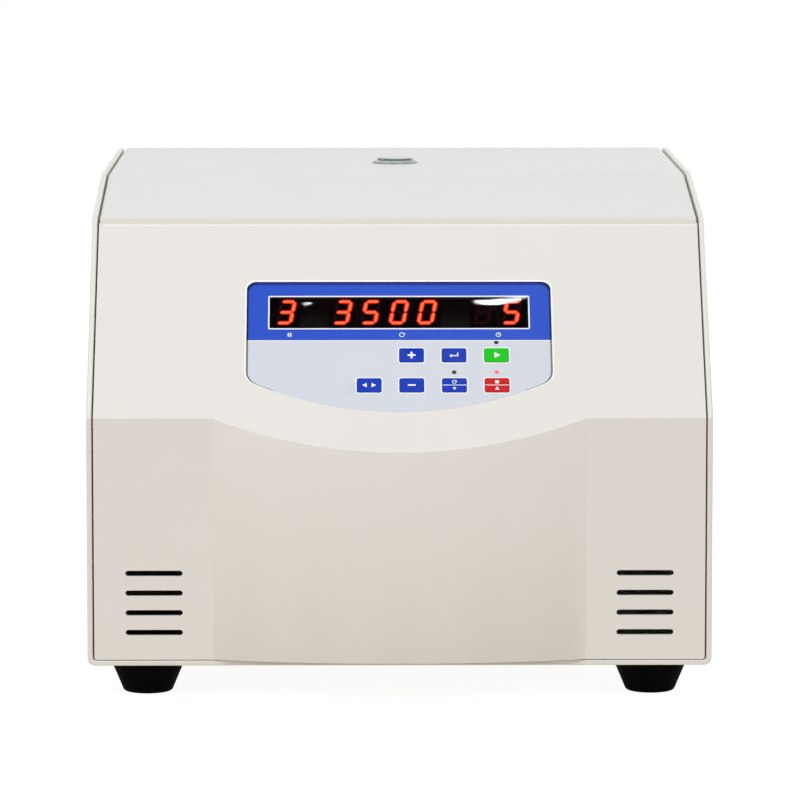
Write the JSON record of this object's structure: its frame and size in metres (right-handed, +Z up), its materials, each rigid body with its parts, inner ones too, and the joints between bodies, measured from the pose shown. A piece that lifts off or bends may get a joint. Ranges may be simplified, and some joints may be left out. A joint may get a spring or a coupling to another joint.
{
  "type": "swing bucket centrifuge",
  "caption": "Bench centrifuge with a hinged lid, tilted control panel, steel chamber, and a rotor whose hanging buckets swing out as it spins.",
  "frame": {"origin": "on the table, under the middle of the whole object", "axes": "+X to the right seen from the front, +Y to the back, +Z up"},
  "size_m": [0.35, 0.477, 0.2857],
  "materials": {
    "case_paint": "light grey-beige powder coat on bent sheet steel, fine orange-peel texture",
    "panel_plastic": "warm off-white moulded plastic, satin",
    "lid_plastic": "off-white moulded plastic, satin",
    "overlay_film": "light grey printed film with a blue band and fine white lines",
    "window_filter": "dark red-black filter, glossy",
    "led_body": "dark blocks with red lit segments",
    "led_lens": "small round lamps, one lit red",
    "key_blue": "blue key caps with a white line",
    "key_green": "green key cap with a white line",
    "key_red": "red key cap with a white line",
    "circuit_board": "green glass-fibre board with parts",
    "grey_steel": "grey painted sheet steel",
    "zinc_steel": "zinc-plated sheet steel",
    "bowl_steel": "spun stainless steel, brushed in circles",
    "armour_steel": "rolled steel guard ring, dull",
    "rubber_black": "black rubber",
    "rubber_grey": "soft grey rubber",
    "motor_aluminium": "cast aluminium, sand-blasted",
    "core_steel": "stacked electrical steel",
    "shaft_steel": "ground steel",
    "rotor_aluminium": "machined and anodised aluminium",
    "bucket_aluminium": "turned and anodised aluminium",
    "chrome_trim": "polished chrome",
    "sight_glass": "greenish clear glass",
    "screw_steel": "zinc-plated screw steel",
    "black_plastic": "black moulded plastic",
    "pin_brass": "plated brass contact pins"
  },
  "bodies": {
    "housing": {"outer_shell": "case_paint", "front_panel": "panel_plastic", "overlay": "overlay_film", "display_window": "window_filter", "digit_modules": "led_body", "indicator_leds": "led_lens", "control_board": "circuit_board", "deck": "grey_steel", "chamber_bowl": "bowl_steel", "armour_ring": "armour_steel", "chamber_seal": "rubber_black", "base_plate": "zinc_steel", "feet": "rubber_black", "foot_screws": "screw_steel", "case_screws": "screw_steel", "dampers": "rubber_grey", "motor_plate": "zinc_steel", "motor_housing": "motor_aluminium", "motor_cap": "motor_aluminium", "motor_stator": "core_steel", "bearings": "shaft_steel", "shaft_boot": "rubber_black", "lock_bracket": "zinc_steel", "lock_solenoid": "zinc_steel", "hinge_body_leaves": "zinc_steel", "hinge_body_screws": "screw_steel", "hinge_pins": "shaft_steel", "rear_panel": "case_paint", "mains_inlet": "black_plastic", "inlet_pins": "pin_brass", "switch_frame": "black_plastic", "power_board": "circuit_board"},
    "lid": {"lid_shell": "lid_plastic", "lid_liner": "grey_steel", "sight_ring": "chrome_trim", "sight_glass": "sight_glass", "striker": "zinc_steel", "hinge_lid_leaves": "zinc_steel", "hinge_lid_screws": "screw_steel"},
    "rotor": {"drive_shaft": "shaft_steel", "motor_core": "core_steel", "rotor_head": "rotor_aluminium", "rotor_nut": "black_plastic"},
    "lock_bolt": {"lock_bolt": "shaft_steel"},
    "switch_rocker": {"switch_rocker": "black_plastic"},
    "bucket_1": {"bucket_1": "bucket_aluminium", "bucket_cushion_1": "rubber_black"},
    "bucket_2": {"bucket_2": "bucket_aluminium", "bucket_cushion_2": "rubber_black"},
    "bucket_3": {"bucket_3": "bucket_aluminium", "bucket_cushion_3": "rubber_black"},
    "bucket_4": {"bucket_4": "bucket_aluminium", "bucket_cushion_4": "rubber_black"},
    "key_plus": {"key_plus": "key_blue"},
    "key_enter": {"key_enter": "key_blue"},
    "key_start": {"key_start": "key_green"},
    "key_select": {"key_select": "key_blue"},
    "key_minus": {"key_minus": "key_blue"},
    "key_mode": {"key_mode": "key_blue"},
    "key_stop": {"key_stop": "key_red"}
  },
  "joints": [
    {"name": "lid_hinge", "type": "hinge", "parent": "housing", "child": "lid", "pos_m": [0, 0.2345, 0.232], "axis": [-1, 0, 0], "range_deg": [0, 78]},
    {"name": "rotor_spin", "type": "hinge", "parent": "housing", "child": "rotor", "pos_m": [0, 0.0665, 0.195], "axis": [0, 0, 1], "continuous": true},
    {"name": "bucket_1_swing", "type": "hinge", "parent": "rotor", "child": "bucket_1", "pos_m": [0.06, 0.0665, 0.195], "axis": [0, 1, 0], "range_deg": [-90, 10]},
    {"name": "bucket_2_swing", "type": "hinge", "parent": "rotor", "child": "bucket_2", "pos_m": [0, 0.1265, 0.195], "axis": [-1, 0, 0], "range_deg": [-90, 10]},
    {"name": "bucket_3_swing", "type": "hinge", "parent": "rotor", "child": "bucket_3", "pos_m": [-0.06, 0.0665, 0.195], "axis": [0, -1, 0], "range_deg": [-90, 10]},
    {"name": "bucket_4_swing", "type": "hinge", "parent": "rotor", "child": "bucket_4", "pos_m": [0, 0.0065, 0.195], "axis": [1, 0, 0], "range_deg": [-90, 10]},
    {"name": "key_plus_press", "type": "slide", "parent": "housing", "child": "key_plus", "axis": [0, 0.7604, -0.6494], "range_m": [0, 0.0005], "stiffness_N_per_m": 2000, "springref_m": -0.0002},
    {"name": "key_enter_press", "type": "slide", "parent": "housing", "child": "key_enter", "axis": [0, 0.7604, -0.6494], "range_m": [0, 0.0005], "stiffness_N_per_m": 2000, "springref_m": -0.0002},
    {"name": "key_start_press", "type": "slide", "parent": "housing", "child": "key_start", "axis": [0, 0.7604, -0.6494], "range_m": [0, 0.0005], "stiffness_N_per_m": 2000, "springref_m": -0.0002},
    {"name": "key_select_press", "type": "slide", "parent": "housing", "child": "key_select", "axis": [0, 0.7604, -0.6494], "range_m": [0, 0.0005], "stiffness_N_per_m": 2000, "springref_m": -0.0002},
    {"name": "key_minus_press", "type": "slide", "parent": "housing", "child": "key_minus", "axis": [0, 0.7604, -0.6494], "range_m": [0, 0.0005], "stiffness_N_per_m": 2000, "springref_m": -0.0002},
    {"name": "key_mode_press", "type": "slide", "parent": "housing", "child": "key_mode", "axis": [0, 0.7604, -0.6494], "range_m": [0, 0.0005], "stiffness_N_per_m": 2000, "springref_m": -0.0002},
    {"name": "key_stop_press", "type": "slide", "parent": "housing", "child": "key_stop", "axis": [0, 0.7604, -0.6494], "range_m": [0, 0.0005], "stiffness_N_per_m": 2000, "springref_m": -0.0002},
    {"name": "lock_bolt_slide", "type": "slide", "parent": "housing", "child": "lock_bolt", "axis": [0, 1, 0], "range_m": [0, 0.008], "stiffness_N_per_m": 200, "springref_m": -0.002},
    {"name": "switch_rocker_tilt", "type": "hinge", "parent": "housing", "child": "switch_rocker", "pos_m": [-0.105, 0.23, 0.135], "axis": [1, 0, 0], "range_deg": [0, 14]}
  ]
}
